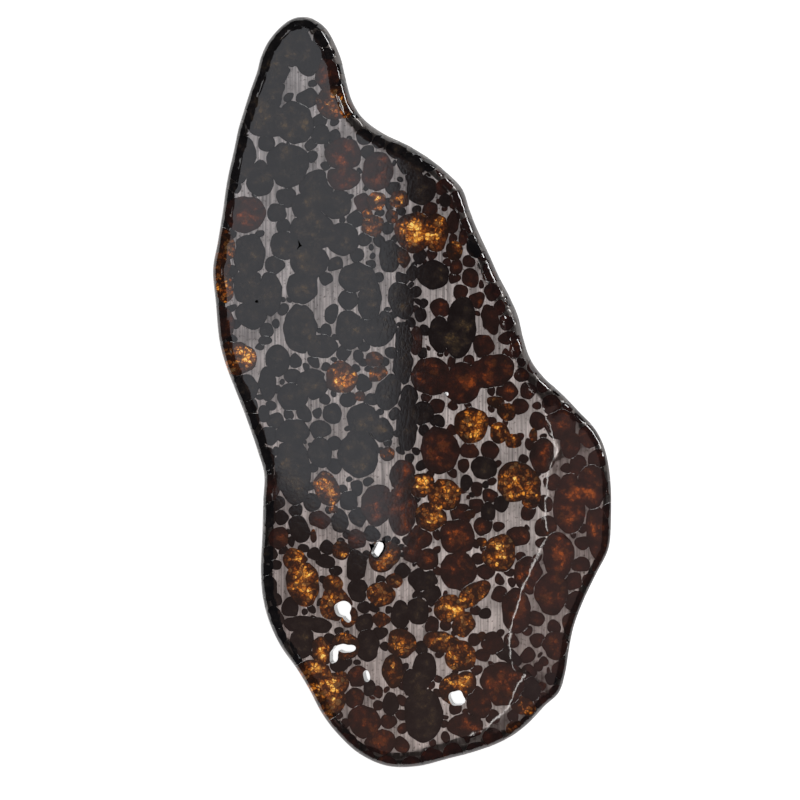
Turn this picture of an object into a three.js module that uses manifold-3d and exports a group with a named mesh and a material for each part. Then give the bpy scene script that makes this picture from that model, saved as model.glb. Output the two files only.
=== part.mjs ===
// A polished slice of a pallasite, the stony-iron kind of meteorite. A slab was sawn from the
// stone and polished on both faces: a network of nickel-iron holds rounded olivine crystals, which
// run right through the slab. The slice lies on its back face, with +Y towards its narrow tip.
// Every length is in millimetres.
import * as THREE from "three";
import { mergeVertices } from "three/addons/utils/BufferGeometryUtils.js";
import Module from "manifold-3d";

const wasm = await Module();
wasm.setup();

// The slab.
const THICKNESS = 4.0; // from the back face to the front face
const WAIST_HEIGHT = 1.5; // height of the rim's widest line
const BACK_EDGE = 0.7; // how far the back face stands in from the widest line
const SHOULDER = 2.3; // how far in the rounding of the front edge reaches
const FLANK_FALL = 0.11; // fall of the ground flank for each millimetre outside its crease
const OUTLINE_STEPS = 80;

// The fit of the crystals in the metal.
const FIT_GAP = 0.2; // clearance between a crystal and its socket
const VEIN = 0.42; // thinnest metal between two sockets
const OVERRUN = 1.0; // how far a cutting prism runs past each face

// The shape of a crystal's outline.
const BULGE = 0.045; // how uneven a lobe is, as a share of its radius
const LOBE_CORNERS = 4; // corners of the smallest lobe
const CORNERS_PER_MM = 1.4; // further corners for each millimetre of mean radius
const MOST_LEAN = 0.45; // how far a crystal's back end stands to one side of its front
const MOST_FLARE = 0.08; // how much wider or narrower its back end is, as a share of its width

// The silhouette, counterclockwise from the tip: x, y, and the distance in from the silhouette at
// which the flat front face begins. It is wide along the right flank, which was ground to a slope.
const OUTLINE = [
  [-22.2, 75.4, 3], [-24.6, 74.7, 3], [-27.0, 72.8, 3], [-29.1, 70.2, 3], [-30.5, 67.2, 3],
  [-31.3, 64.2, 3], [-32.7, 60.4, 3], [-34.0, 56.4, 3], [-35.1, 52.8, 3], [-36.0, 48.6, 3],
  [-37.4, 42.4, 3], [-38.3, 36.2, 3], [-39.3, 30.2, 3], [-40.3, 24.4, 3], [-39.7, 17.6, 3],
  [-39.1, 11.0, 3], [-38.0, 6.2, 3], [-36.2, 1.4, 3], [-34.1, -3.8, 3], [-32.4, -8.4, 3],
  [-31.1, -12.2, 3], [-29.8, -16.8, 3], [-30.0, -22.0, 3], [-30.2, -29.0, 3.2],
  [-30.5, -35.6, 3.4], [-30.1, -41.4, 3.4], [-28.8, -46.4, 3.2], [-26.4, -51.4, 3],
  [-23.2, -55.8, 3], [-20.6, -60.0, 3], [-18.0, -64.8, 3], [-14.8, -68.9, 3], [-10.4, -72.8, 3.2],
  [-4.8, -75.2, 3.6], [1.4, -75.2, 4], [7.6, -73.6, 4.2], [13.6, -71.9, 4.4], [18.8, -69.8, 4.8],
  [23.2, -66.8, 5.4], [27.0, -62.8, 7], [29.9, -60.0, 9], [31.2, -56.0, 11], [32.0, -51.0, 12],
  [33.0, -46.4, 12], [35.0, -41.2, 12], [37.4, -36.2, 12], [39.8, -31.2, 12.5],
  [40.3, -25.2, 12.8], [40.2, -18.0, 12.6], [39.2, -12.0, 11.5], [37.2, -7.6, 9.5],
  [33.8, -3.9, 7], [30.2, -0.2, 4.6], [26.8, 2.9, 3.4], [24.2, 6.5, 3], [22.8, 10.6, 3],
  [21.8, 14.8, 3], [20.2, 18.6, 3], [18.0, 22.8, 3], [16.1, 27.0, 3], [14.0, 31.4, 3],
  [12.2, 35.8, 3], [10.7, 40.2, 3], [8.0, 43.2, 3], [4.2, 46.4, 3], [-0.4, 49.3, 3],
  [-5.2, 51.6, 3], [-9.2, 54.5, 3], [-11.6, 58.1, 3], [-12.9, 62.4, 3], [-14.1, 67.2, 3],
  [-16.6, 72.4, 3], [-19.4, 74.8, 3],
];

// The olivine. Each crystal, or clump grown together, is a list of lobes: x, y, two radii, and the
// turn of the first radius in degrees. One listed earlier keeps its shape where two would meet.
const OLIVINE = {
  amber: [
    [[-14.8, 57.6, 3.9, 3.2, -10]],
    [[-37.6, 29.3, 2.4, 3.0, 0], [-38.4, 25.0, 2.2, 2.8, 0], [-37.2, 20.8, 1.6, 3.0, 0]],
    [[-34.6, 6.6, 3.8, 3.0, -12]],
    [[-13.3, 2.9, 3.0, 3.1, 0]],
    [[0.9, 31.8, 3.6, 3.8, 0], [5.3, 31.8, 2.3, 3.7, 0]],
    [[12.6, -6.8, 3.2, 3.3, 0]],
    [[2.8, -18.5, 2.5, 2.3, 10], [7.4, -20.4, 3.2, 3.0, 0], [4.6, -24.8, 2.9, 2.6, -15]],
    [[-15.2, -38.7, 1.9, 1.8, 0], [-14.6, -42.8, 3.1, 3.4, 0], [-11.8, -45.3, 1.7, 2.0, 0]],
    [[-5.4, -33.4, 2.8, 3.3, 0], [-3.4, -32.6, 2.2, 2.6, 0]],
    [[-5.6, -40.3, 2.7, 2.3, -10], [-3.1, -37.8, 1.6, 1.3, 0]],
    [[8.4, -43.4, 2.9, 2.5, 15], [13.2, -40.6, 3.8, 1.7, 35], [11.2, -46.4, 2.0, 2.3, 0]],
    [[-1.3, -50.2, 2.8, 3.0, 20], [-2.9, -55.6, 1.9, 3.5, 0]],
    [[-19.3, -57.2, 3.9, 3.3, 0], [-17.4, -52.2, 1.8, 3.0, 0], [-14.3, -58.3, 2.3, 2.2, 0],
      [-16.6, -62.0, 4.0, 3.4, 0]],
    [[-21.5, -38.8, 3.3, 4.6, 5], [-23.2, -34.0, 2.4, 2.3, 0]],
    [[-16.5, -19.4, 2.3, 3.5, 20]],
    [[8.9, -59.5, 2.9, 3.0, 0], [11.3, -58.2, 2.0, 2.2, 0]],
    [[16.2, -33.0, 1.5, 1.5, 0], [18.3, -32.2, 2.8, 3.8, 0]],
    [[6.6, -49.8, 3.8, 1.9, -10], [10.4, -52.6, 3.0, 3.0, 0]],
    [[21.9, -17.8, 3.8, 3.8, 0], [24.6, -19.5, 1.9, 3.5, 0]],
    [[-12.9, -50.8, 2.6, 2.4, 0]],
  ],
  brown: [
    [[-13.0, 47.4, 3.4, 3.1, 0], [-13.0, 42.7, 3.2, 2.2, 0]],
    [[-33.0, 35.4, 4.0, 3.4, 0]],
    [[-6.1, 43.7, 2.9, 3.7, -10]],
    [[-38.2, 13.8, 2.6, 3.4, 0]],
    [[4.5, 3.0, 3.9, 3.5, -10], [10.6, 1.6, 3.5, 3.8, 0], [16.4, 4.0, 4.6, 2.9, 20]],
    [[6.1, -11.8, 3.8, 4.7, 10]],
    [[-1.2, -16.8, 2.5, 3.1, 0], [-1.5, -23.6, 2.9, 5.0, 0], [-6.4, -22.6, 3.1, 4.0, 0]],
    [[1.9, -28.9, 3.0, 2.4, 0], [0.9, -32.1, 2.1, 1.9, 0], [4.0, -33.3, 2.3, 2.0, 0]],
    [[9.6, -29.0, 3.3, 3.3, 0], [9.8, -35.8, 3.4, 3.6, 0]],
    [[26.8, -12.8, 2.1, 3.3, 0]],
    [[32.0, -22.2, 3.0, 6.1, 0], [36.4, -18.6, 2.8, 4.4, 0]],
    [[32.3, -10.6, 1.9, 2.6, 0], [30.4, -6.6, 3.2, 3.0, 0]],
    [[19.0, -57.8, 4.0, 4.2, 0], [14.3, -61.8, 2.3, 2.9, 0], [11.6, -66.3, 3.4, 2.2, 0]],
    [[28.4, -40.4, 3.1, 4.2, 0], [29.8, -32.8, 3.0, 4.6, 0]],
    [[23.8, -36.6, 2.8, 3.7, 0], [21.4, -43.8, 2.8, 4.7, 0]],
    [[-8.8, -66.3, 3.0, 3.2, 0], [-5.4, -70.2, 3.0, 2.2, 0]],
  ],
  dark: [
    [[-24.3, 69.2, 4.7, 3.8, 25], [-20.3, 66.9, 2.6, 3.2, 0], [-27.4, 64.6, 3.0, 3.4, 0],
      [-29.4, 59.6, 3.8, 4.6, -15], [-28.8, 54.4, 4.2, 3.1, 0], [-23.0, 53.8, 3.6, 4.1, 0]],
    [[-34.0, 46.6, 2.6, 4.5, -12], [-30.2, 42.8, 2.6, 3.4, 0], [-24.6, 45.6, 4.0, 4.2, 0]],
    [[-18.4, 41.0, 3.6, 3.4, 0], [-20.2, 37.2, 3.2, 2.9, 0], [-14.6, 37.4, 3.2, 2.8, 0],
      [-19.2, 32.4, 4.5, 3.9, 0], [-13.0, 30.6, 3.2, 3.2, 0], [-24.8, 29.4, 2.9, 2.8, 0],
      [-19.8, 26.2, 3.9, 3.4, 0], [-21.4, 20.9, 3.2, 3.2, 0]],
    [[0.2, 44.9, 2.9, 2.1, -25], [2.4, 39.8, 3.1, 2.9, 0], [1.0, 42.6, 1.6, 1.4, 0]],
    [[-32.0, 27.2, 3.2, 4.1, 0], [-32.4, 20.8, 3.1, 3.6, 0], [-28.0, 19.2, 2.5, 4.4, 0],
      [-31.6, 15.2, 3.2, 2.8, 0]],
    [[-10.6, 22.6, 3.9, 2.8, 0], [-8.0, 18.2, 2.3, 4.3, 0]],
    [[5.0, 23.1, 3.2, 2.6, 0]],
    [[-1.3, 17.9, 2.3, 3.8, 18]],
    [[-22.0, 12.4, 3.2, 4.9, 0], [-17.7, 8.8, 3.3, 2.2, 0]],
    [[-26.6, 5.8, 2.4, 3.1, 0], [-28.6, 1.4, 1.6, 3.6, 0]],
    [[-11.8, 12.2, 2.6, 3.8, 10], [-6.3, 12.6, 3.6, 3.4, 0]],
    [[-1.1, 10.2, 1.5, 3.3, 0], [-1.2, 5.0, 1.9, 3.4, 0], [-4.2, -0.2, 2.2, 3.6, -20]],
    [[6.1, 11.3, 1.9, 3.4, 0], [10.3, 12.6, 2.8, 5.9, -8]],
    [[-23.4, -1.0, 3.0, 2.5, 0], [-19.4, 1.6, 3.2, 2.8, 0]],
    [[0.0, -1.4, 1.7, 3.2, 0], [-0.1, -7.6, 1.8, 4.2, 0], [2.8, -4.6, 2.4, 2.1, 0]],
    [[-9.4, -5.9, 3.1, 3.1, 0], [-5.6, -8.0, 2.3, 2.2, 0], [-10.2, -12.6, 3.9, 4.7, 0]],
    [[-23.3, -8.2, 3.4, 2.5, 10], [-23.2, -16.0, 3.4, 6.9, 5], [-18.2, -5.6, 2.6, 1.9, 25]],
    [[-18.0, -12.2, 2.1, 2.9, 0]],
    [[-10.8, -35.0, 1.9, 3.3, 0], [-10.5, -39.8, 1.9, 2.3, 0]],
    [[-22.0, -46.7, 3.2, 1.6, 0], [-17.8, -46.9, 2.4, 1.4, 0], [-21.5, -50.2, 2.5, 3.1, 0]],
    [[-1.5, -44.6, 2.0, 2.9, 0], [1.9, -43.7, 2.4, 2.6, 0]],
    [[3.0, -37.6, 2.9, 2.0, 0], [4.8, -40.6, 1.9, 2.1, 0]],
    [[3.4, -55.0, 2.1, 3.0, 0], [1.4, -58.2, 2.4, 2.8, 0], [3.0, -64.4, 3.5, 5.2, 0]],
  ],
};

// Small through holes, where crystals have crumbled out of the slice: lobes, as above.
const HOLES = [
  [[-13.3, -43.6, 1.6, 1.5, 0], [-12.5, -44.9, 0.9, 1.5, 20]],
  [[-6.2, -31.6, 1.0, 1.6, -25]],
  [[9.7, -61.1, 1.5, 1.4, 20]],
  [[-12.9, -51.2, 1.5, 0.7, 5]],
];

const FINISH = {
  metal: { color: 0x9b9793, roughness: 0.3, metalness: 1.0 },
  amber: { color: 0x9a5210, roughness: 0.08, metalness: 0.0 },
  brown: { color: 0x3a201a, roughness: 0.08, metalness: 0.0 },
  dark: { color: 0x1f2024, roughness: 0.08, metalness: 0.0 },
};

// A closed geometry as a manifold-3d solid.
function solidOf(geometry) {
  const bare = geometry.clone();
  bare.deleteAttribute("normal");
  bare.deleteAttribute("uv");
  const merged = mergeVertices(bare, 1e-4);
  return new wasm.Manifold(
    new wasm.Mesh({
      numProp: 3,
      vertProperties: merged.getAttribute("position").array,
      triVerts: new Uint32Array(merged.index.array),
    }),
  );
}

// A manifold-3d solid as a geometry.
function geometryOf(solid) {
  const mesh = solid.getMesh();
  const geometry = new THREE.BufferGeometry();
  geometry.setAttribute("position", new THREE.BufferAttribute(mesh.vertProperties, 3));
  geometry.setIndex(new THREE.BufferAttribute(mesh.triVerts, 1));
  return geometry;
}

// The silhouette's points, each with its inward direction and its crease distance.
function silhouette() {
  const knots = OUTLINE.map(([x, y, crease]) => new THREE.Vector3(x, y, crease));
  const curve = new THREE.CatmullRomCurve3(knots, true, "centripetal");
  return Array.from({ length: OUTLINE_STEPS }, (_, step) => {
    const along = step / OUTLINE_STEPS;
    const point = curve.getPoint(along);
    const tangent = curve.getTangent(along).setZ(0).normalize();
    return { x: point.x, y: point.y, crease: point.z, inX: -tangent.y, inY: tangent.x };
  });
}

// The heights and insets of the slab's rings, from the back face up to the front face.
function ringsAt(crease) {
  const shoulderHeight = THICKNESS - 0.05 - FLANK_FALL * (crease - SHOULDER);
  const rise = shoulderHeight - WAIST_HEIGHT;
  const rounding = [45, 90].map((degrees) => {
    const turn = THREE.MathUtils.degToRad(degrees);
    return [SHOULDER * (1 - Math.cos(turn)), WAIST_HEIGHT + rise * Math.sin(turn)];
  });
  return [
    [BACK_EDGE, 0],
    [0, WAIST_HEIGHT],
    ...rounding,
    [crease, THICKNESS],
  ];
}

// The whole slab before any socket is cut: rings joined by quads, with a face on each end.
function slabGeometry() {
  const rim = silhouette();
  const ringCount = ringsAt(0).length;
  const positions = [];
  for (let ring = 0; ring < ringCount; ring += 1) {
    for (const { x, y, crease, inX, inY } of rim) {
      const [inset, height] = ringsAt(crease)[ring];
      positions.push(x + inset * inX, y + inset * inY, height);
    }
  }
  const indices = [];
  for (let ring = 0; ring + 1 < ringCount; ring += 1) {
    for (let step = 0; step < OUTLINE_STEPS; step += 1) {
      const next = (step + 1) % OUTLINE_STEPS;
      const [a, b] = [ring * OUTLINE_STEPS + step, ring * OUTLINE_STEPS + next];
      const [c, d] = [a + OUTLINE_STEPS, b + OUTLINE_STEPS];
      indices.push(a, b, d, a, d, c);
    }
  }
  for (const [ring, up] of [[0, false], [ringCount - 1, true]]) {
    const base = ring * OUTLINE_STEPS;
    const loop = rim.map((_, step) => {
      const at = 3 * (base + step);
      return new THREE.Vector2(positions[at], positions[at + 1]);
    });
    for (const [a, b, c] of THREE.ShapeUtils.triangulateShape(loop, [])) {
      indices.push(base + a, base + (up ? b : c), base + (up ? c : b));
    }
  }
  const geometry = new THREE.BufferGeometry();
  geometry.setAttribute("position", new THREE.Float32BufferAttribute(positions, 3));
  geometry.setIndex(indices);
  return geometry;
}

// One lobe's uneven round outline, grown outwards by the given amount.
function lobeOutline([x, y, radiusA, radiusB, turn], grow) {
  const steps = Math.round(LOBE_CORNERS + 0.5 * (radiusA + radiusB) * CORNERS_PER_MM);
  const phase = 1.7 * x + 2.3 * y;
  const centre = new THREE.Vector2(x, y);
  return Array.from({ length: steps }, (_, step) => {
    const angle = (2 * Math.PI * step) / steps;
    const uneven = Math.sin(3 * angle + phase) + 0.6 * Math.sin(5 * angle - 1.6 * phase);
    const share = 1 + BULGE * uneven;
    return new THREE.Vector2(
      x + (radiusA * share + grow) * Math.cos(angle),
      y + (radiusB * share + grow) * Math.sin(angle),
    ).rotateAround(centre, THREE.MathUtils.degToRad(turn));
  });
}

// A clump of lobes as a prism that runs past both faces. Its back end leans to one side and is a
// little wider or narrower than its front.
function clump(lobes, grow, upright = false) {
  const [leadX, leadY] = lobes[0];
  const lean = upright ? 0 : MOST_LEAN;
  const back = new THREE.Matrix4().makeTranslation(
    lean * Math.sin(1.3 * leadX + leadY),
    lean * Math.cos(leadX - 0.7 * leadY),
    -OVERRUN,
  );
  const flare = upright ? 1 : 1 + MOST_FLARE * Math.sin(leadX - leadY);
  const prisms = lobes.map((lobe) => {
    const [x, y] = lobe;
    const depth = THICKNESS + 2 * OVERRUN;
    const geometry = new THREE.ExtrudeGeometry(new THREE.Shape(lobeOutline(lobe, grow)), {
      depth,
      bevelEnabled: false,
    });
    const position = geometry.getAttribute("position");
    const corner = new THREE.Vector3();
    for (let at = 0; at < position.count; at += 1) {
      corner.fromBufferAttribute(position, at);
      if (corner.z > 0) {
        corner.z -= OVERRUN;
      } else {
        corner.set(x + flare * (corner.x - x), y + flare * (corner.y - y), 0).applyMatrix4(back);
      }
      position.setXYZ(at, corner.x, corner.y, corner.z);
    }
    return solidOf(geometry);
  });
  return wasm.Manifold.union(prisms);
}

// The largest body of a solid: slivers cut off by a neighbour are dropped.
function largest(solid) {
  return solid.decompose().sort((a, b) => b.volume() - a.volume())[0];
}

const slab = solidOf(slabGeometry());
const holes = wasm.Manifold.union(HOLES.map((lobes) => clump(lobes, 0, true)));
const crystals = Object.entries(OLIVINE).flatMap(([look, clumps]) =>
  clumps.map((lobes, index) => ({
    look,
    lobes,
    name: `${look}_olivine_${String(index + 1).padStart(2, "0")}`,
  })),
);

// What a clump may fill once the earlier clumps, grown by the spacing, are cut out of it.
function room(index, grow, spacing) {
  const earlier = crystals.slice(0, index).map(({ lobes }) => clump(lobes, spacing));
  const whole = clump(crystals[index].lobes, grow);
  return largest(earlier.length ? whole.subtract(wasm.Manifold.union(earlier)) : whole);
}

const slice = new THREE.Group();
slice.name = "pallasite_slice";

function addPiece(name, solid, look) {
  const mesh = new THREE.Mesh(geometryOf(solid), new THREE.MeshStandardMaterial(FINISH[look]));
  mesh.name = name;
  slice.add(mesh);
}

// The crystals, cut flush with the slab's faces and rim, and their sockets.
const sockets = crystals.map(({ name, look }, index) => {
  const crystal = room(index, 0, 2 * FIT_GAP + VEIN).intersect(slab);
  addPiece(name, largest(crystal.subtract(holes)), look);
  return room(index, FIT_GAP, FIT_GAP + VEIN);
});

const network = slab.subtract(wasm.Manifold.union(sockets));
addPiece("nickel_iron_matrix", largest(network), "metal");

export default slice;
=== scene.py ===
import math

import bpy
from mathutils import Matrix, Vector, noise
from mathutils.kdtree import KDTree


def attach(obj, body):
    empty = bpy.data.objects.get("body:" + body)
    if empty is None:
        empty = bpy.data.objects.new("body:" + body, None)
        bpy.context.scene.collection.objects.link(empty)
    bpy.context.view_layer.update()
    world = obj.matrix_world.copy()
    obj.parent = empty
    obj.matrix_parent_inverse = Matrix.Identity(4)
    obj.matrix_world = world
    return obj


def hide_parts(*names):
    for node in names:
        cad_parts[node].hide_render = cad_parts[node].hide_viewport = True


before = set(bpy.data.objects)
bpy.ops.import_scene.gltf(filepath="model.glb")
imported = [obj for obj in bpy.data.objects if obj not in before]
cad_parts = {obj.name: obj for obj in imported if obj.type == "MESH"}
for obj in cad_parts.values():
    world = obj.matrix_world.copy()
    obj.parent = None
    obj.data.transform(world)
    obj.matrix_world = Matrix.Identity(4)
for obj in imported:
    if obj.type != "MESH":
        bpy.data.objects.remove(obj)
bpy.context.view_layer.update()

# The slab. A saw cut it from the stone in two parallel cuts, both faces were lapped flat and
# polished, and its natural rim was rounded over. Along the right flank the rim was ground to a wide
# slope. It is solid at first, and the sockets of the olivine are cut out of it later.
MM = 0.001
THICKNESS = 4.0
WAIST_HEIGHT = 1.5
BACK_EDGE = 0.7
SHOULDER = 2.3
FLANK_FALL = 0.11
CREASE_WAVE_LENGTH = 2.0
RIM_STEPS_PER_KNOT = 6
RIM_SHRINK = 0.12  # keeps the finer curve inside the coarser solid
FACE_GRID = 1.6  # the flat faces are divided this finely, to carry each crystal's shading
silhouette_knots = [
    (-22.2, 75.4, 3), (-24.6, 74.7, 3), (-27.0, 72.8, 3), (-29.1, 70.2, 3), (-30.5, 67.2, 3),
    (-31.3, 64.2, 3), (-32.7, 60.4, 3), (-34.0, 56.4, 3), (-35.1, 52.8, 3), (-36.0, 48.6, 3),
    (-37.4, 42.4, 3), (-38.3, 36.2, 3), (-39.3, 30.2, 3), (-40.3, 24.4, 3), (-39.7, 17.6, 3),
    (-39.1, 11.0, 3), (-38.0, 6.2, 3), (-36.2, 1.4, 3), (-34.1, -3.8, 3), (-32.4, -8.4, 3),
    (-31.1, -12.2, 3), (-29.8, -16.8, 3), (-30.0, -22.0, 3), (-30.2, -29.0, 3.2),
    (-30.5, -35.6, 3.4), (-30.1, -41.4, 3.4), (-28.8, -46.4, 3.2), (-26.4, -51.4, 3),
    (-23.2, -55.8, 3), (-20.6, -60.0, 3), (-18.0, -64.8, 3), (-14.8, -68.9, 3),
    (-10.4, -72.8, 3.2), (-4.8, -75.2, 3.6), (1.4, -75.2, 4), (7.6, -73.6, 4.2),
    (13.6, -71.9, 4.4), (18.8, -69.8, 4.8), (23.2, -66.8, 5.4), (27.0, -62.8, 7),
    (29.9, -60.0, 9), (31.2, -56.0, 11), (32.0, -51.0, 12), (33.0, -46.4, 12),
    (35.0, -41.2, 12), (37.4, -36.2, 12), (39.8, -31.2, 12.5), (40.3, -25.2, 12.8),
    (40.2, -18.0, 12.6), (39.2, -12.0, 11.5), (37.2, -7.6, 9.5), (33.8, -3.9, 7),
    (30.2, -0.2, 4.6), (26.8, 2.9, 3.4), (24.2, 6.5, 3), (22.8, 10.6, 3), (21.8, 14.8, 3),
    (20.2, 18.6, 3), (18.0, 22.8, 3), (16.1, 27.0, 3), (14.0, 31.4, 3), (12.2, 35.8, 3),
    (10.7, 40.2, 3), (8.0, 43.2, 3), (4.2, 46.4, 3), (-0.4, 49.3, 3), (-5.2, 51.6, 3),
    (-9.2, 54.5, 3), (-11.6, 58.1, 3), (-12.9, 62.4, 3), (-14.1, 67.2, 3), (-16.6, 72.4, 3),
    (-19.4, 74.8, 3),
]


def rim_curve(knots, steps):
    """Points of a smooth closed curve through the knots."""
    points = []
    for index, here in enumerate(knots):
        before = Vector(knots[index - 1])
        after = Vector(knots[(index + 1) % len(knots)])
        beyond = Vector(knots[(index + 2) % len(knots)])
        here = Vector(here)
        for step in range(steps):
            t = step / steps
            points.append(
                0.5 * (2 * here + (after - before) * t
                       + (2 * before - 5 * here + 4 * after - beyond) * t**2
                       + (3 * here - before - 3 * after + beyond) * t**3)
            )
    return points


def ring_profile(crease, wobble):
    """Inset and height of each ring from the back face to the front face."""
    crease += 0.5 * wobble
    fall = FLANK_FALL * (crease - SHOULDER)
    rise = THICKNESS - 0.05 - fall - WAIST_HEIGHT
    turns = [math.radians(angle) for angle in (18, 36, 54, 72, 90)]
    back = [
        (BACK_EDGE * (1 - math.sin(turn)), WAIST_HEIGHT * (1 - math.cos(turn)))
        for turn in (0, turns[1], turns[2], turns[3])
    ]
    front = [
        (SHOULDER * (1 - math.cos(turn)), WAIST_HEIGHT + rise * math.sin(turn)) for turn in turns
    ]
    worn = 0.6 + 0.3 * wobble
    soft_crease = (crease - worn, THICKNESS - 0.5 * worn * FLANK_FALL)
    return back + [(0.0, WAIST_HEIGHT)] + front + [soft_crease, (crease, THICKNESS)]


rim = rim_curve(silhouette_knots, RIM_STEPS_PER_KNOT)
rings = []
for index, point in enumerate(rim):
    along = (rim[(index + 1) % len(rim)] - rim[index - 1]).to_2d().normalized()
    inward = Vector((-along.y, along.x))
    rings.append(
        [
            (*((point.to_2d() + (inset + RIM_SHRINK) * inward) * MM), height * MM)
            for inset, height in ring_profile(point.z, noise.noise(point / CREASE_WAVE_LENGTH))
        ]
    )
ring_count = len(rings[0])
rim_count = len(rings)
slab_points = [rings[step][ring] for ring in range(ring_count) for step in range(rim_count)]
slab_faces = [
    (
        ring * rim_count + step,
        ring * rim_count + (step + 1) % rim_count,
        (ring + 1) * rim_count + (step + 1) % rim_count,
        (ring + 1) * rim_count + step,
    )
    for ring in range(ring_count - 1)
    for step in range(rim_count)
]
slab_faces.append(tuple(reversed(range(rim_count))))
slab_faces.append(tuple(range((ring_count - 1) * rim_count, ring_count * rim_count)))
slab_mesh = bpy.data.meshes.new("slab")
slab_mesh.from_pydata(slab_points, [], slab_faces)
slab = bpy.data.objects.new("slab", slab_mesh)
bpy.context.collection.objects.link(slab)
bpy.ops.object.select_all(action="DESELECT")
slab.select_set(True)
bpy.context.view_layer.objects.active = slab
bpy.ops.object.mode_set(mode="EDIT")
for axis, reach in ((0, 40), (1, 75)):
    across = Vector((0, 0, 0))
    across[axis] = 1.0
    for line in range(int(-reach / FACE_GRID), int(reach / FACE_GRID) + 1):
        bpy.ops.mesh.select_all(action="SELECT")
        bpy.ops.mesh.bisect(plane_co=across * line * FACE_GRID * MM, plane_no=across)
bpy.ops.object.mode_set(mode="OBJECT")

# Small holes where crystals have crumbled out of the slice, so that light shows through. Each one
# is a round-cornered opening through the whole slab, with the uneven outline of the lost grain.
CUT_OVERRUN = 1.5 * MM
OUTLINE_WAVE = 0.38 * MM
OUTLINE_WAVE_LENGTH = 1.5 * MM
NOOK_REACH = 1.6 * MM  # in a nook the two sides stop growing before they meet
NOOK_SHARE = 0.42
LOBE_CORNERS = 10
hole_lobes = [
    (-13.3, -43.6, 1.7, 1.6, 0), (-12.5, -44.9, 0.9, 1.5, 20), (-6.2, -31.6, 1.0, 1.7, -25),
    (9.7, -61.1, 1.6, 1.5, 20), (-12.8, -51.4, 2.1, 0.8, 5), (-15.0, -52.7, 0.9, 1.8, -15),
    (-8.4, -57.0, 0.7, 1.2, 0), (7.5, -0.6, 0.5, 0.4, 0),
]


def make_active(piece):
    bpy.ops.object.select_all(action="DESELECT")
    piece.select_set(True)
    bpy.context.view_layer.objects.active = piece


def combine(piece, other, operation):
    """Adds, cuts away or keeps the overlap with another closed mesh."""
    cut = piece.modifiers.new("cut", "BOOLEAN")
    cut.operation = operation
    cut.solver = "MANIFOLD"
    cut.object = other
    make_active(piece)
    bpy.ops.object.modifier_apply(modifier=cut.name)


def grown(prism, amount):
    """A copy of a prism, that much wider all round."""
    wider = prism.copy()
    wider.data = prism.data.copy()
    bpy.context.collection.objects.link(wider)
    make_active(wider)
    bpy.ops.object.mode_set(mode="EDIT")
    bpy.ops.mesh.select_all(action="SELECT")
    bpy.ops.transform.shrink_fatten(value=amount)
    bpy.ops.object.mode_set(mode="OBJECT")
    return wider


def prism_from_loop(piece, growth):
    """Turns a closed loop of edges in edit mode into an uneven rounded prism through the slab."""
    bpy.ops.mesh.select_all(action="SELECT")
    bpy.ops.mesh.dissolve_limited(angle_limit=math.radians(4))
    bpy.ops.mesh.select_all(action="SELECT")
    bpy.ops.mesh.subdivide(number_cuts=3)
    bpy.ops.mesh.vertices_smooth(factor=0.5, repeat=5)
    bpy.ops.mesh.edge_face_add()
    bpy.ops.object.mode_set(mode="OBJECT")
    face = piece.data.polygons[0]
    order = list(face.vertices)
    if face.normal.z < 0:
        order.reverse()
    places = [piece.data.vertices[index].co.copy() for index in order]
    outline = KDTree(len(places))
    for step, place in enumerate(places):
        outline.insert(place, step)
    outline.balance()
    for step, (place, index) in enumerate(zip(places, order)):
        along = places[(step + 1) % len(places)] - places[step - 1]
        out = Vector((along.y, -along.x, 0)).normalized()
        move = growth + noise.noise(place / OUTLINE_WAVE_LENGTH) * OUTLINE_WAVE
        for facing, _, gap in outline.find_range(place, NOOK_REACH):
            if (facing - place).dot(out) > 0.5 * gap:
                move = min(move, NOOK_SHARE * gap)
        piece.data.vertices[index].co = place + out * move
    for vertex in piece.data.vertices:
        vertex.co.z = -CUT_OVERRUN
    bpy.ops.object.mode_set(mode="EDIT")
    bpy.ops.mesh.select_all(action="SELECT")
    bpy.ops.mesh.extrude_region_move(
        TRANSFORM_OT_translate={"value": (0, 0, THICKNESS * MM + 2 * CUT_OVERRUN)}
    )
    bpy.ops.mesh.select_all(action="SELECT")
    bpy.ops.mesh.normals_make_consistent(inside=False)
    bpy.ops.object.mode_set(mode="OBJECT")


def prism_of_lobe(x, y, radius_a, radius_b, turn):
    """The prism through the slab for one round grain."""
    bpy.ops.object.select_all(action="DESELECT")
    bpy.ops.mesh.primitive_circle_add(
        vertices=LOBE_CORNERS, radius=MM, location=(x * MM, y * MM, 0),
        rotation=(0, 0, math.radians(turn)),
    )
    prism = bpy.context.object
    prism.scale = (radius_a, radius_b, 1)
    bpy.ops.object.transform_apply(location=True, rotation=True, scale=True)
    bpy.ops.object.mode_set(mode="EDIT")
    prism_from_loop(prism, 0.08 * min(radius_a, radius_b) * MM)
    return prism


for lobe in hole_lobes:
    hole = prism_of_lobe(*lobe)
    combine(slab, hole, "DIFFERENCE")
    bpy.data.objects.remove(hole)

# The olivine crystals that the solids hold. Each grew as a rounded grain, or as a clump of grains
# grown together, and the two cuts went straight through it. Its outline is taken from its solid at
# mid-height, rounded off, made a little uneven and grown until close neighbours touch.
OUTLINE_GROWTH = 0.42 * MM
RIM_REACH = 0.9 * MM
PAST_RIM = 2.5 * MM
FLAT_ENOUGH = 0.985  # upward part of the normal of a lapped face, the ground flank included
# width of the band of painted shade along each crystal's border
PAINTED_SHADE_BORDER = 1.5 * MM
CLOUD_LENGTH = 6 * MM
SEAM = 0.04 * MM  # hairline between a crystal and what it grew against
rim_flat = [point.to_2d() * MM for point in rim]


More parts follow.
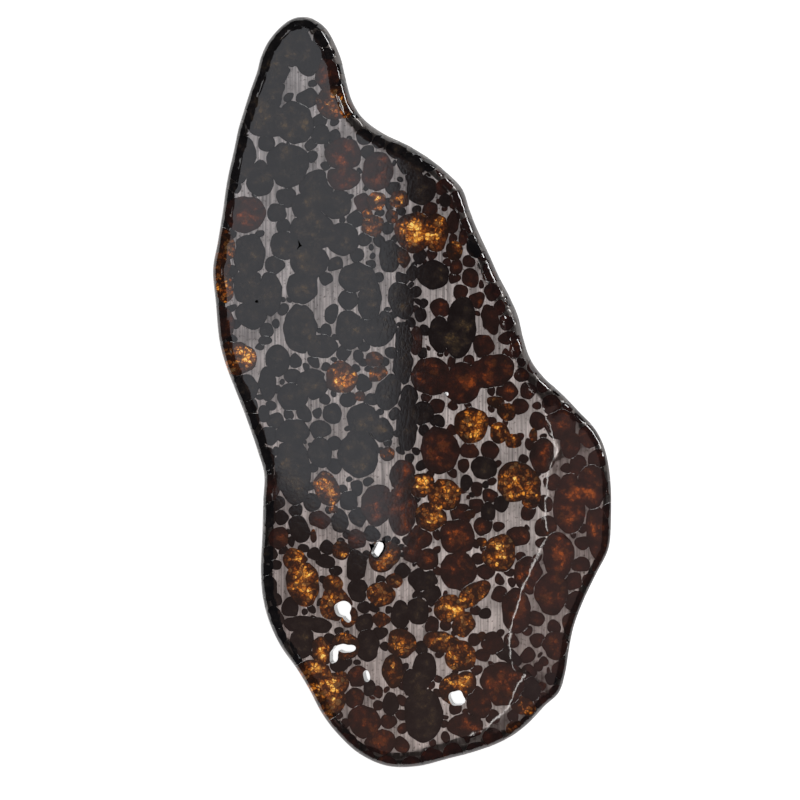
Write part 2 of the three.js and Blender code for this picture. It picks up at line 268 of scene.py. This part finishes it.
def outward_at(place):
    """Nearest point of the silhouette, and the direction out of the slab there."""
    index = min(range(len(rim_flat)), key=lambda step: (rim_flat[step] - place).length_squared)
    along = (rim_flat[(index + 1) % len(rim_flat)] - rim_flat[index - 1]).normalized()
    return rim_flat[index], Vector((along.y, -along.x))


def prism_of_solid(node):
    """The prism through the slab that follows one CAD crystal's outline."""
    prism = bpy.data.objects[node].copy()
    prism.data = prism.data.copy()
    prism.parent = None
    bpy.context.collection.objects.link(prism)
    make_active(prism)
    bpy.ops.object.mode_set(mode="EDIT")
    bpy.ops.mesh.select_all(action="SELECT")
    bpy.ops.mesh.remove_doubles(threshold=0.001 * MM)
    bpy.ops.mesh.select_all(action="SELECT")
    bpy.ops.mesh.bisect(
        plane_co=(0, 0, 0.5 * THICKNESS * MM), plane_no=(0, 0, 1),
        clear_inner=True, clear_outer=True,
    )
    bpy.ops.object.mode_set(mode="OBJECT")
    for vertex in prism.data.vertices:
        nearest, outward = outward_at(vertex.co.to_2d())
        if (nearest - vertex.co.to_2d()).length < RIM_REACH:
            vertex.co += PAST_RIM * outward.to_3d()
    bpy.ops.object.mode_set(mode="EDIT")
    prism_from_loop(prism, OUTLINE_GROWTH)
    return prism


def set_in_slab(prism, name):
    """Turns a prism into the crystal at its place in the slab, less what is already taken."""
    prism.name = name
    prism.data.materials.clear()
    wider = grown(prism, SEAM)
    if taken.data.polygons:
        combine(prism, taken, "DIFFERENCE")
        combine(taken, wider, "UNION")
    else:
        taken.data = wider.data
    bpy.data.objects.remove(wider)
    combine(prism, slab, "INTERSECT")
    return prism


def polish(piece, material):
    """Flat faces stay flat, round walls are smooth, and the piece goes on the slice."""
    make_active(piece)
    bpy.ops.object.shade_smooth_by_angle(angle=math.radians(28))
    weighted = piece.modifiers.new("flat_faces", "WEIGHTED_NORMAL")
    weighted.weight = 100
    weighted.keep_sharp = True
    bpy.ops.object.modifier_apply(modifier=weighted.name)
    piece.data.materials.clear()
    piece.data.materials.append(material)
    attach(piece, "root")


def paint_border_shade_and_glow(piece):
    """Paints shade along each crystal's border and a glow in its middle, with a random cloud so
    that no two crystals are quite alike.
    """
    wall = {
        index
        for face in piece.data.polygons
        if abs(face.normal.z) < FLAT_ENOUGH
        for index in face.vertices
    }
    border = KDTree(len(wall))
    for index in wall:
        border.insert(piece.data.vertices[index].co, index)
    border.balance()
    glow = piece.data.attributes.new("glow", "FLOAT", "POINT")
    for vertex in piece.data.vertices:
        inside = min(1.0, border.find(vertex.co)[2] / PAINTED_SHADE_BORDER)
        cloud = noise.noise(vertex.co / CLOUD_LENGTH)
        glow.data[vertex.index].value = inside * (0.8 + 0.6 * cloud)


def crackle_group():
    """Cells of clearer and darker crystal between healed cracks, and broad cloudy patches."""
    group = bpy.data.node_groups.new("crackle", "ShaderNodeTree")
    for name in ("Cell Size", "Patch Size"):
        group.interface.new_socket(name, in_out="INPUT", socket_type="NodeSocketFloat")
    group.interface.new_socket("Position", in_out="INPUT", socket_type="NodeSocketVector")
    for name in ("Cells", "Patches", "Cracks"):
        group.interface.new_socket(name, in_out="OUTPUT", socket_type="NodeSocketFloat")
    nodes, links = group.nodes, group.links
    given = nodes.new("NodeGroupInput")
    result = nodes.new("NodeGroupOutput")
    warp = nodes.new("ShaderNodeTexNoise")
    warp.inputs["Scale"].default_value = 900
    links.new(given.outputs["Position"], warp.inputs["Vector"])
    bend = nodes.new("ShaderNodeVectorMath")
    bend.operation = "MULTIPLY_ADD"
    bend.inputs[1].default_value = (0.0009, 0.0009, 0.0009)
    links.new(warp.outputs["Color"], bend.inputs[0])
    links.new(given.outputs["Position"], bend.inputs[2])
    cells = nodes.new("ShaderNodeTexVoronoi")
    links.new(bend.outputs["Vector"], cells.inputs["Vector"])
    links.new(given.outputs["Cell Size"], cells.inputs["Scale"])
    edges = nodes.new("ShaderNodeTexVoronoi")
    edges.feature = "DISTANCE_TO_EDGE"
    links.new(bend.outputs["Vector"], edges.inputs["Vector"])
    links.new(given.outputs["Cell Size"], edges.inputs["Scale"])
    crack = nodes.new("ShaderNodeMapRange")
    crack.inputs["From Max"].default_value = 0.16
    crack.inputs["To Min"].default_value = 0.12
    links.new(edges.outputs["Distance"], crack.inputs["Value"])
    tone = nodes.new("ShaderNodeSeparateColor")
    links.new(cells.outputs["Color"], tone.inputs["Color"])
    clear = nodes.new("ShaderNodeMath")
    clear.operation = "MULTIPLY"
    links.new(tone.outputs["Red"], clear.inputs[0])
    links.new(crack.outputs["Result"], clear.inputs[1])
    patches = nodes.new("ShaderNodeTexNoise")
    patches.inputs["Detail"].default_value = 3
    links.new(given.outputs["Position"], patches.inputs["Vector"])
    links.new(given.outputs["Patch Size"], patches.inputs["Scale"])
    spread = nodes.new("ShaderNodeMapRange")
    spread.inputs["From Min"].default_value = 0.36
    spread.inputs["From Max"].default_value = 0.62
    links.new(patches.outputs["Fac"], spread.inputs["Value"])
    links.new(clear.outputs["Value"], result.inputs["Cells"])
    links.new(spread.outputs["Result"], result.inputs["Patches"])
    links.new(crack.outputs["Result"], result.inputs["Cracks"])
    return group


def olivine(name, ramp, absorption, density, cell_share, cell_scale=1150, patch_scale=420):
    """See-through olivine: tinted by its cells and patches, darker the thicker it is, with painted
    shade at its borders and a painted glow in its middle.
    """
    material = bpy.data.materials.new(name)
    material.use_nodes = True
    nodes, links = material.node_tree.nodes, material.node_tree.links
    shader = nodes["Principled BSDF"]
    shader.inputs["Transmission Weight"].default_value = 1.0
    shader.inputs["Roughness"].default_value = 0.06
    shader.inputs["IOR"].default_value = 1.67
    place = nodes.new("ShaderNodeTexCoord")
    pattern = nodes.new("ShaderNodeGroup")
    pattern.node_tree = crackle
    pattern.inputs["Cell Size"].default_value = cell_scale
    pattern.inputs["Patch Size"].default_value = patch_scale
    links.new(place.outputs["Object"], pattern.inputs["Position"])
    blend = nodes.new("ShaderNodeMix")
    blend.inputs["Factor"].default_value = cell_share
    links.new(pattern.outputs["Patches"], blend.inputs["A"])
    links.new(pattern.outputs["Cells"], blend.inputs["B"])
    # The glow mark becomes painted shade near each border and a painted glow in the middle, added
    # into the base colour.
    glow = nodes.new("ShaderNodeAttribute")
    glow.attribute_name = "glow"
    painted_shade_and_glow = nodes.new("ShaderNodeMapRange")
    painted_shade_and_glow.inputs["To Min"].default_value = -0.26
    painted_shade_and_glow.inputs["To Max"].default_value = 0.16
    links.new(glow.outputs["Fac"], painted_shade_and_glow.inputs["Value"])
    shaded = nodes.new("ShaderNodeMath")
    shaded.operation = "ADD"
    links.new(blend.outputs["Result"], shaded.inputs[0])
    links.new(painted_shade_and_glow.outputs["Result"], shaded.inputs[1])
    colour = nodes.new("ShaderNodeValToRGB")
    while len(colour.color_ramp.elements) < len(ramp):
        colour.color_ramp.elements.new(1.0)
    for element, (position, tint) in zip(colour.color_ramp.elements, ramp):
        element.position = position
        element.color = (*tint, 1.0)
    links.new(shaded.outputs["Value"], colour.inputs["Fac"])
    links.new(colour.outputs["Color"], shader.inputs["Base Color"])
    healed = nodes.new("ShaderNodeBump")
    healed.inputs["Strength"].default_value = 0.12
    healed.inputs["Distance"].default_value = 0.01 * MM
    links.new(pattern.outputs["Cracks"], healed.inputs["Height"])
    links.new(healed.outputs["Normal"], shader.inputs["Normal"])
    volume = nodes.new("ShaderNodeVolumeAbsorption")
    volume.inputs["Color"].default_value = (*absorption, 1.0)
    volume.inputs["Density"].default_value = density
    links.new(volume.outputs["Volume"], nodes["Material Output"].inputs["Volume"])
    return material


crackle = crackle_group()
olivine_looks = {
    # The gold at the top of the amber ramp is partly clearer crystal and partly painted glints of
    # light off cracks inside.
    "amber": olivine(
        "amber olivine",
        [(0.0, (0.008, 0.004, 0.003)), (0.34, (0.03, 0.009, 0.004)), (0.5, (0.22, 0.055, 0.008)),
         (0.63, (0.8, 0.3, 0.022)), (0.81, (1.0, 0.78, 0.25))],
        (0.9, 0.6, 0.2), 80, cell_share=0.6,
    ),
    "brown": olivine(
        "brown olivine",
        [(0.0, (0.008, 0.005, 0.005)), (0.4, (0.02, 0.009, 0.008)), (0.66, (0.05, 0.015, 0.009)),
         (0.9, (0.34, 0.09, 0.015))],
        (0.6, 0.2, 0.12), 150, cell_share=0.35,
    ),
    "dark": olivine(
        "dark olivine",
        [(0.0, (0.002, 0.002, 0.003)), (0.45, (0.008, 0.007, 0.008)), (0.7, (0.03, 0.022, 0.018)),
         (0.9, (0.12, 0.075, 0.03))],
        (0.3, 0.28, 0.28), 200, cell_share=0.4,
    ),
}
taken = bpy.data.objects.new("taken", bpy.data.meshes.new("taken"))
bpy.context.collection.objects.link(taken)
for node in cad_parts:
    look = node.split("_")[0]
    if look in olivine_looks:
        crystal = set_in_slab(prism_of_solid(node), node + "_crystal")
        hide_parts(node)
        paint_border_shade_and_glow(crystal)
        polish(crystal, olivine_looks[look])

# The smaller olivine grains between the large crystals, too many to be solids of their own. Each
# is a separate rounded grain through the slab; those of one colour are kept as one mesh.
grain_lobes = {
    "amber": [
        (-6.5, 37.8, 1.9, 1.9, 0), (-7.1, 33.0, 2.3, 2.2, 0), (-8.2, 35.3, 1.1, 1.0, 0),
        (-3.3, 34.8, 1.3, 1.3, 0), (-1.8, 38.2, 2.0, 1.8, 0), (9.2, 27.9, 1.7, 1.8, 0),
        (-1.0, 26.6, 1.2, 2.3, 8), (-6.9, 6.3, 1.7, 1.6, 0), (-6.2, 3.5, 1.9, 1.5, 20),
        (-9.7, -1.0, 1.2, 1.0, 0), (-4.2, -12.6, 1.4, 1.5, -30), (-19.2, -29.0, 0.6, 1.5, 0),
        (-15.2, -23.8, 0.8, 0.8, 0), (19.6, -4.1, 1.8, 1.8, 0), (17.6, -2.2, 1.9, 1.2, -20),
        (18.3, -8.3, 2.0, 2.1, 0), (20.9, -9.9, 1.8, 1.4, -25), (25.0, -8.8, 0.8, 1.3, 0),
        (-13.7, -31.9, 1.8, 1.9, 0), (-5.6, -45.5, 1.8, 1.5, 0),
        (14.7, -48.7, 0.9, 0.9, 0), (14.8, -29.9, 1.1, 0.9, 0), (22.8, -62.5, 2.4, 1.8, -15),
        (21.1, -66.8, 1.8, 1.3, 20), (12.4, -24.5, 1.1, 1.0, 0),
    ],
    "brown": [
        (-16.4, 63.2, 2.3, 3.3, 0), (-9.3, 37.6, 1.6, 2.0, 0), (8.9, 33.6, 1.3, 2.5, -10),
        (9.6, 24.6, 1.3, 1.5, 0), (1.5, 10.1, 1.3, 3.0, 0), (11.0, 30.5, 0.9, 1.7, 0),
        (16.4, 14.2, 1.7, 3.1, 15), (21.4, 8.6, 1.3, 2.4, -10), (-27.9, -19.4, 1.9, 2.6, 0),
        (-18.0, -25.7, 2.3, 1.7, -20), (10.6, -24.4, 2.3, 2.0, 0), (22.0, -28.8, 2.4, 2.0, 0),
        (37.8, -28.5, 2.4, 6.0, 10), (-26.3, -29.4, 2.0, 2.2, 0), (-10.4, -29.6, 1.9, 1.9, 0),
        (-0.5, -56.9, 1.3, 1.6, 0), (25.9, -54.7, 1.1, 0.9, 0), (29.2, -50.4, 2.4, 2.8, 0),
        (16.8, -50.0, 2.2, 2.2, 0), (33.8, -14.8, 1.8, 2.2, 0),
    ],
    "dark": [
        (-17.7, 51.3, 2.0, 1.9, 0), (-26.7, 35.7, 1.9, 1.9, 0), (-3.9, 37.3, 1.0, 1.2, 0),
        (-3.8, 26.8, 2.2, 3.3, 0), (2.3, 26.9, 1.2, 1.6, -30), (0.7, 23.5, 1.1, 1.7, 0),
        (3.0, 17.5, 0.9, 1.1, 0), (2.4, 15.2, 1.2, 1.5, 0), (7.3, 38.0, 1.2, 1.3, 0),
        (-29.0, 10.2, 1.5, 0.9, 0), (-15.5, 15.5, 1.4, 2.1, -15), (-16.6, 11.8, 1.1, 1.7, 0),
        (-33.2, 0.6, 2.8, 2.8, 0), (-10.1, 6.9, 1.1, 1.2, 0), (-29.3, -4.6, 1.3, 1.8, 0),
        (-28.3, -9.0, 2.1, 1.8, 0), (-28.8, -13.6, 1.9, 2.4, 0), (-22.1, -27.6, 2.0, 2.9, 15),
        (-12.1, -21.9, 1.9, 1.9, 0), (-13.9, -26.0, 1.7, 2.4, 0), (2.6, -14.9, 1.2, 1.1, 0),
        (11.6, -18.3, 1.2, 1.6, -20), (12.7, -20.6, 0.6, 0.6, 0), (15.0, -15.3, 2.6, 2.3, -10),
        (15.4, -18.6, 0.5, 0.7, 0), (18.6, -22.4, 1.6, 1.6, 0), (16.0, -24.0, 1.5, 1.9, 0),
        (-26.8, -34.9, 1.3, 0.9, 0), (-19.0, -32.6, 1.3, 1.3, 0), (-16.7, -34.1, 2.0, 1.4, -10),
        (-26.9, -45.4, 1.5, 2.3, 20), (-14.0, -54.8, 1.7, 1.5, 0), (-9.0, -43.3, 1.3, 1.3, 0),
        (-8.3, -50.8, 2.3, 3.3, -5), (-3.6, -62.4, 1.6, 2.4, 0), (-7.9, -59.3, 1.2, 1.7, 0),
        (15.4, -44.2, 1.2, 1.1, 0), (19.0, -51.6, 4.6, 1.5, -38), (28.4, -57.0, 1.2, 1.2, 0),
        (12.9, 28.6, 1.3, 2.4, 15), (-28.4, -25.0, 1.5, 2.4, 0), (-28.3, -39.6, 1.7, 2.6, 0),
        (24.4, -59.2, 2.0, 2.4, 0), (-22.3, 73.1, 3.6, 1.4, 0),
    ],
}
grains = {
    look: [set_in_slab(prism_of_lobe(*lobe), "grain") for lobe in lobes]
    for look, lobes in grain_lobes.items()
}

# Between all these, the rest of the stone is packed with more olivine, each grain as large as its
# neighbours leave it room for. Only the broad patches of bare metal stay free of it.
PACK_STEP = 1.5
LEAST_RADIUS = 0.55
MOST_RADIUS = 2.3
SQUEEZE = 0.5  # how far a packed grain may run into a large crystal, which then cuts it
APART = 0.12  # least metal between two packed grains
PACKED_CORNERS = 20
PACKED_WAVE = 0.6
PACKED_WAVE_LENGTH = 2.2
metal_patches = [
    (-22.4, 61.8, 1.5, 3.3), (-18.6, 57.5, 1.2, 2.5), (-11.5, 53.0, 3.2, 2.2),
    (-30.8, 50.9, 1.2, 1.2), (-27.3, 49.6, 0.8, 0.8), (-18.0, 47.0, 0.9, 2.2),
    (-22.3, 40.5, 1.0, 1.0), (-28.0, 36.0, 2.9, 3.6), (-27.9, 30.0, 0.9, 2.5),
    (-14.7, 28.0, 1.0, 1.2), (-25.5, 23.5, 1.4, 2.2), (-17.0, 17.5, 4.6, 4.0),
    (-32.8, 10.8, 2.5, 1.7), (-26.5, 10.5, 1.2, 1.0), (-30.0, 6.0, 1.6, 1.7),
    (-26.2, -3.2, 1.0, 2.6), (-4.0, 21.0, 1.6, 3.0), (6.5, 20.2, 2.8, 2.0),
    (14.0, -1.0, 1.8, 2.5), (7.5, -4.5, 1.6, 1.5), (22.5, -6.0, 1.5, 2.2),
    (20.0, -12.2, 3.2, 1.8), (-14.5, -6.5, 1.2, 1.6), (-5.7, -15.5, 2.0, 3.0),
    (21.0, -25.0, 2.2, 2.2), (25.3, -27.0, 1.0, 3.0), (29.7, -13.0, 1.0, 2.2),
    (34.5, -14.0, 1.0, 1.8), (-17.5, -28.7, 3.0, 2.2), (-26.3, -38.0, 1.6, 2.2),
    (-7.5, -36.5, 1.2, 2.6), (-1.0, -39.5, 1.5, 1.6), (1.7, -46.7, 1.6, 1.2),
    (16.2, -44.5, 2.5, 4.0), (24.5, -31.5, 1.5, 1.2), (27.0, -47.6, 1.7, 1.7),
    (26.5, -57.0, 1.5, 1.2), (34.0, -39.0, 1.2, 1.4), (-24.8, -52.4, 1.2, 2.6),
    (-7.2, -55.0, 2.0, 3.0), (3.0, -71.4, 2.5, 1.0), (6.9, -55.2, 1.0, 1.8),
]


def room_at(place):
    """Clear distance from a place to the nearest large crystal, or less than nothing inside one."""
    middle = Vector((*(place * MM), 0.5 * THICKNESS * MM))
    covered = taken.ray_cast(middle + Vector((0, 0, 1)), Vector((0, 0, -1)))[0]
    return -1.0 if covered else (taken.closest_point_on_mesh(middle)[1] - middle).length / MM


def inside_rim(place):
    nearest, outward = outward_at(place * MM)
    return (nearest - place * MM).dot(outward) > 0


def on_metal(place):
    return any(
        ((place.x - x) / (radius_x + 0.4)) ** 2 + ((place.y - y) / (radius_y + 0.4)) ** 2 < 1
        for x, y, radius_x, radius_y in metal_patches
    )


packed = []
for least in (1.4, 0.9, LEAST_RADIUS):
    for row in range(-51, 52):
        for column in range(-28, 29):
            jitter = noise.noise_vector(Vector((column, row, 10 * least)))
            place = PACK_STEP * Vector((column + 0.6 * jitter.x, row + 0.6 * jitter.y))
            if not inside_rim(place) or on_metal(place):
                continue
            clear = min(((place - other).length - size for other, size, _ in packed), default=9)
            if clear < least + APART:
                continue
            radius = min(room_at(place) + SQUEEZE, clear - APART, MOST_RADIUS)
            if radius > least:
                warm = place.x + 6 * jitter.z > 4 or place.y < -56
                packed.append((place, radius, "brown" if warm else "dark"))

for look in ("brown", "dark"):
    bpy.ops.object.select_all(action="DESELECT")
    pack_mesh = bpy.data.meshes.new("pack")
    pack = bpy.data.objects.new("pack", pack_mesh)
    bpy.context.collection.objects.link(pack)
    make_active(pack)
    bpy.ops.object.mode_set(mode="EDIT")
    for place, radius, its_look in packed:
        if its_look == look:
            bpy.ops.mesh.primitive_circle_add(
                vertices=PACKED_CORNERS, radius=radius * MM, fill_type="NGON",
                location=(place.x * MM, place.y * MM, -CUT_OVERRUN),
            )
    bpy.ops.mesh.select_all(action="SELECT")
    bpy.ops.mesh.extrude_region_move(
        TRANSFORM_OT_translate={"value": (0, 0, THICKNESS * MM + 2 * CUT_OVERRUN)}
    )
    bpy.ops.mesh.select_all(action="SELECT")
    bpy.ops.mesh.normals_make_consistent(inside=False)
    bpy.ops.object.mode_set(mode="OBJECT")
    for vertex in pack.data.vertices:
        flat = vertex.co.to_2d().to_3d() / (PACKED_WAVE_LENGTH * MM)
        push = noise.noise_vector(flat) * PACKED_WAVE * MM
        vertex.co += Vector((push.x, push.y, 0))
    grains[look].append(set_in_slab(pack, "grain"))

for look, pieces in grains.items():
    bpy.ops.object.select_all(action="DESELECT")
    for grain in pieces:
        grain.select_set(True)
    bpy.context.view_layer.objects.active = pieces[0]
    bpy.ops.object.join()
    pieces[0].name = look + "_grains"
    paint_border_shade_and_glow(pieces[0])
    polish(pieces[0], olivine_looks[look])

# The nickel-iron that grew round the olivine, in one network. Lapping left fine streaks along the
# slice, and rust pits and tarnish speckle it. A thin clear lacquer keeps it from rusting further.
combine(slab, taken, "DIFFERENCE")
bpy.data.objects.remove(taken)
slab.name = "nickel_iron_network"
metal = bpy.data.materials.new("lapped nickel-iron")
metal.use_nodes = True
nodes, links = metal.node_tree.nodes, metal.node_tree.links
shader = nodes["Principled BSDF"]
shader.inputs["Metallic"].default_value = 1.0
shader.inputs["Coat Roughness"].default_value = 0.05
place = nodes.new("ShaderNodeTexCoord")
lay = nodes.new("ShaderNodeMapping")
lay.inputs["Rotation"].default_value = (0, 0, math.radians(12))
lay.inputs["Scale"].default_value = (2600, 90, 400)
links.new(place.outputs["Object"], lay.inputs["Vector"])
streaks = nodes.new("ShaderNodeTexNoise")
streaks.inputs["Scale"].default_value = 1.0
streaks.inputs["Detail"].default_value = 4
links.new(lay.outputs["Vector"], streaks.inputs["Vector"])
speckle = nodes.new("ShaderNodeTexNoise")
speckle.inputs["Scale"].default_value = 1500
speckle.inputs["Detail"].default_value = 5
speckle.inputs["Roughness"].default_value = 0.7
links.new(place.outputs["Object"], speckle.inputs["Vector"])
pits = nodes.new("ShaderNodeValToRGB")
pits.color_ramp.elements[0].position = 0.33
pits.color_ramp.elements[0].color = (0.15, 0.13, 0.12, 1)
pits.color_ramp.elements[1].position = 0.44
pits.color_ramp.elements[1].color = (0.66, 0.635, 0.62, 1)
links.new(speckle.outputs["Fac"], pits.inputs["Fac"])
grey = nodes.new("ShaderNodeMapRange")
grey.inputs["From Min"].default_value = 0.36
grey.inputs["From Max"].default_value = 0.64
grey.inputs["To Min"].default_value = 0.5
grey.inputs["To Max"].default_value = 1.2
links.new(streaks.outputs["Fac"], grey.inputs["Value"])
tarnish = nodes.new("ShaderNodeTexNoise")
tarnish.inputs["Scale"].default_value = 170
tarnish.inputs["Detail"].default_value = 2
links.new(place.outputs["Object"], tarnish.inputs["Vector"])
patchy = nodes.new("ShaderNodeMapRange")
patchy.inputs["From Min"].default_value = 0.35
patchy.inputs["From Max"].default_value = 0.65
patchy.inputs["To Min"].default_value = 0.62
patchy.inputs["To Max"].default_value = 1.12
links.new(tarnish.outputs["Fac"], patchy.inputs["Value"])
brightness = nodes.new("ShaderNodeMath")
brightness.operation = "MULTIPLY"
links.new(grey.outputs["Result"], brightness.inputs[0])
links.new(patchy.outputs["Result"], brightness.inputs[1])
lined = nodes.new("ShaderNodeVectorMath")
lined.operation = "SCALE"
links.new(pits.outputs["Color"], lined.inputs["Vector"])
links.new(brightness.outputs["Value"], lined.inputs["Scale"])
# Where the surface leans away from straight up, on the rounded rim and the ground flank, the metal
# colour is painted nearly black as shade.
facing = nodes.new("ShaderNodeNewGeometry")
upward = nodes.new("ShaderNodeSeparateXYZ")
links.new(facing.outputs["Normal"], upward.inputs["Vector"])
painted_rim_shade = nodes.new("ShaderNodeMapRange")
painted_rim_shade.inputs["From Min"].default_value = 0.999
painted_rim_shade.inputs["From Max"].default_value = 0.985
painted_rim_shade.inputs["To Max"].default_value = 0.93
links.new(upward.outputs["Z"], painted_rim_shade.inputs["Value"])
metal_with_painted_rim_shade = nodes.new("ShaderNodeMix")
metal_with_painted_rim_shade.data_type = "RGBA"
metal_with_painted_rim_shade.inputs["B"].default_value = (0.035, 0.028, 0.025, 1)
links.new(painted_rim_shade.outputs["Result"], metal_with_painted_rim_shade.inputs["Factor"])
links.new(lined.outputs["Vector"], metal_with_painted_rim_shade.inputs["A"])
lacquered = nodes.new("ShaderNodeMapRange")
lacquered.inputs["From Min"].default_value = 0.15
lacquered.inputs["From Max"].default_value = 0.5
links.new(upward.outputs["Z"], lacquered.inputs["Value"])
links.new(lacquered.outputs["Result"], shader.inputs["Coat Weight"])
sheen = nodes.new("ShaderNodeMapRange")
sheen.inputs["To Min"].default_value = 0.24
sheen.inputs["To Max"].default_value = 0.5
links.new(streaks.outputs["Fac"], sheen.inputs["Value"])
groove = nodes.new("ShaderNodeBump")
groove.inputs["Strength"].default_value = 0.25
groove.inputs["Distance"].default_value = 0.00003
links.new(streaks.outputs["Fac"], groove.inputs["Height"])
links.new(metal_with_painted_rim_shade.outputs["Result"], shader.inputs["Base Color"])
links.new(sheen.outputs["Result"], shader.inputs["Roughness"])
links.new(groove.outputs["Normal"], shader.inputs["Normal"])
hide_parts("nickel_iron_matrix")
polish(slab, metal)

# The table is a white light panel: it shows as plain white, and lights the clear crystals from
# behind.
bpy.ops.object.select_all(action="DESELECT")
bpy.ops.mesh.primitive_plane_add(size=3.0, location=(0, 0, -0.0002))
table = bpy.context.object
table.name = "light_table"
panel = bpy.data.materials.new("white panel")
panel.use_nodes = True
surface = panel.node_tree.nodes["Principled BSDF"]
surface.inputs["Base Color"].default_value = (0.8, 0.8, 0.8, 1)
surface.inputs["Roughness"].default_value = 0.9
surface.inputs["Specular IOR Level"].default_value = 0.0
surface.inputs["Emission Color"].default_value = (1, 1, 1, 1)
surface.inputs["Emission Strength"].default_value = 0.95
table.data.materials.append(panel)

# A bright wall stands over the slice on the left, and its mirror image veils the left half with a
# straight edge down the middle. The rest of the room, in the same mirror, is a dim warm brown,
# darker towards the top; the ground flank, which leans outward, mirrors the side of the room.
WALL_HEIGHT = 0.5


def glowing_panel(name, corners, height, colour, strength):
    bpy.ops.object.select_all(action="DESELECT")
    bpy.ops.mesh.primitive_plane_add(size=1.0, location=(0, 0, 0))
    card = bpy.context.object
    card.name = name
    for vertex, (x, y) in zip(card.data.vertices, corners):
        vertex.co = (x, y, height)
    glow = bpy.data.materials.new(name)
    glow.use_nodes = True
    light = glow.node_tree.nodes["Principled BSDF"]
    light.inputs["Base Color"].default_value = (0, 0, 0, 1)
    light.inputs["Specular IOR Level"].default_value = 0.0
    light.inputs["Emission Color"].default_value = (*colour, 1)
    light.inputs["Emission Strength"].default_value = strength
    card.data.materials.append(glow)
    card.visible_camera = False
    card.visible_shadow = False
    return card


glowing_panel(
    "white_wall",
    [(-0.26, 0.053), (-0.0723, -0.0611), (-0.26, 0.3), (-0.0723, 0.3)],
    WALL_HEIGHT, (0.93, 0.94, 1.0), 0.85,
)
room = glowing_panel(
    "warm_room",
    [(-0.26, -0.26), (0.04, -0.26), (-0.26, 0.3), (0.04, 0.3)],
    WALL_HEIGHT + 0.02, (0.42, 0.27, 0.235), 1.0,
)
nodes, links = room.active_material.node_tree.nodes, room.active_material.node_tree.links
place = nodes.new("ShaderNodeTexCoord")
apart = nodes.new("ShaderNodeSeparateXYZ")
links.new(place.outputs["Object"], apart.inputs["Vector"])
fading = nodes.new("ShaderNodeMapRange")
fading.inputs["From Min"].default_value = -0.11
fading.inputs["From Max"].default_value = -0.01
fading.inputs["To Min"].default_value = 0.8
fading.inputs["To Max"].default_value = 0.3
links.new(apart.outputs["Y"], fading.inputs["Value"])
links.new(fading.outputs["Result"], nodes["Principled BSDF"].inputs["Emission Strength"])
glowing_panel(
    "side_of_room",
    [(0.045, -0.26), (0.22, -0.26), (0.045, 0.06), (0.22, 0.06)],
    WALL_HEIGHT + 0.02, (0.42, 0.27, 0.25), 0.9,
)
glowing_panel(
    "slit_of_light", [(0.0, -0.25), (0.028, -0.25), (0.0, 0.02), (0.028, 0.02)],
    WALL_HEIGHT, (1, 0.96, 0.93), 7.0,
)

# A window on the right, low over the table, draws a thin bright line along the rounded rim.
bpy.ops.object.select_all(action="DESELECT")
bpy.ops.mesh.primitive_plane_add(
    size=1.0, location=(0.75, 0.55, 0.34), rotation=(0, math.radians(-90), math.radians(36))
)
window = bpy.context.object
window.name = "window"
window.scale = (0.16, 0.9, 1.0)
pane = bpy.data.materials.new("window")
pane.use_nodes = True
light = pane.node_tree.nodes["Principled BSDF"]
light.inputs["Base Color"].default_value = (0, 0, 0, 1)
light.inputs["Emission Color"].default_value = (1, 1, 1, 1)
light.inputs["Emission Strength"].default_value = 14.0
window.data.materials.append(pane)
window.visible_camera = False

world = bpy.data.worlds.new("dim room")
world.use_nodes = True
world.node_tree.nodes["Background"].inputs["Color"].default_value = (0.05, 0.045, 0.045, 1)
bpy.context.scene.world = world
bpy.context.scene.view_settings.view_transform = "Standard"

# The camera looks down on the slice, a little from the side of the ground flank.
CAMERA_TILT = math.radians(8)
CAMERA_DISTANCE = 0.6
FRAME_WIDTH = 0.16
target = Vector((-0.002, -0.0018, 0.5 * THICKNESS * MM))
bpy.ops.object.camera_add(
    location=target
    + CAMERA_DISTANCE * Vector((math.sin(CAMERA_TILT), 0, math.cos(CAMERA_TILT))),
    rotation=(0, CAMERA_TILT, 0),
)
camera = bpy.context.object
camera.data.sensor_width = 36
camera.data.lens = 36 * CAMERA_DISTANCE / FRAME_WIDTH
bpy.context.scene.camera = camera
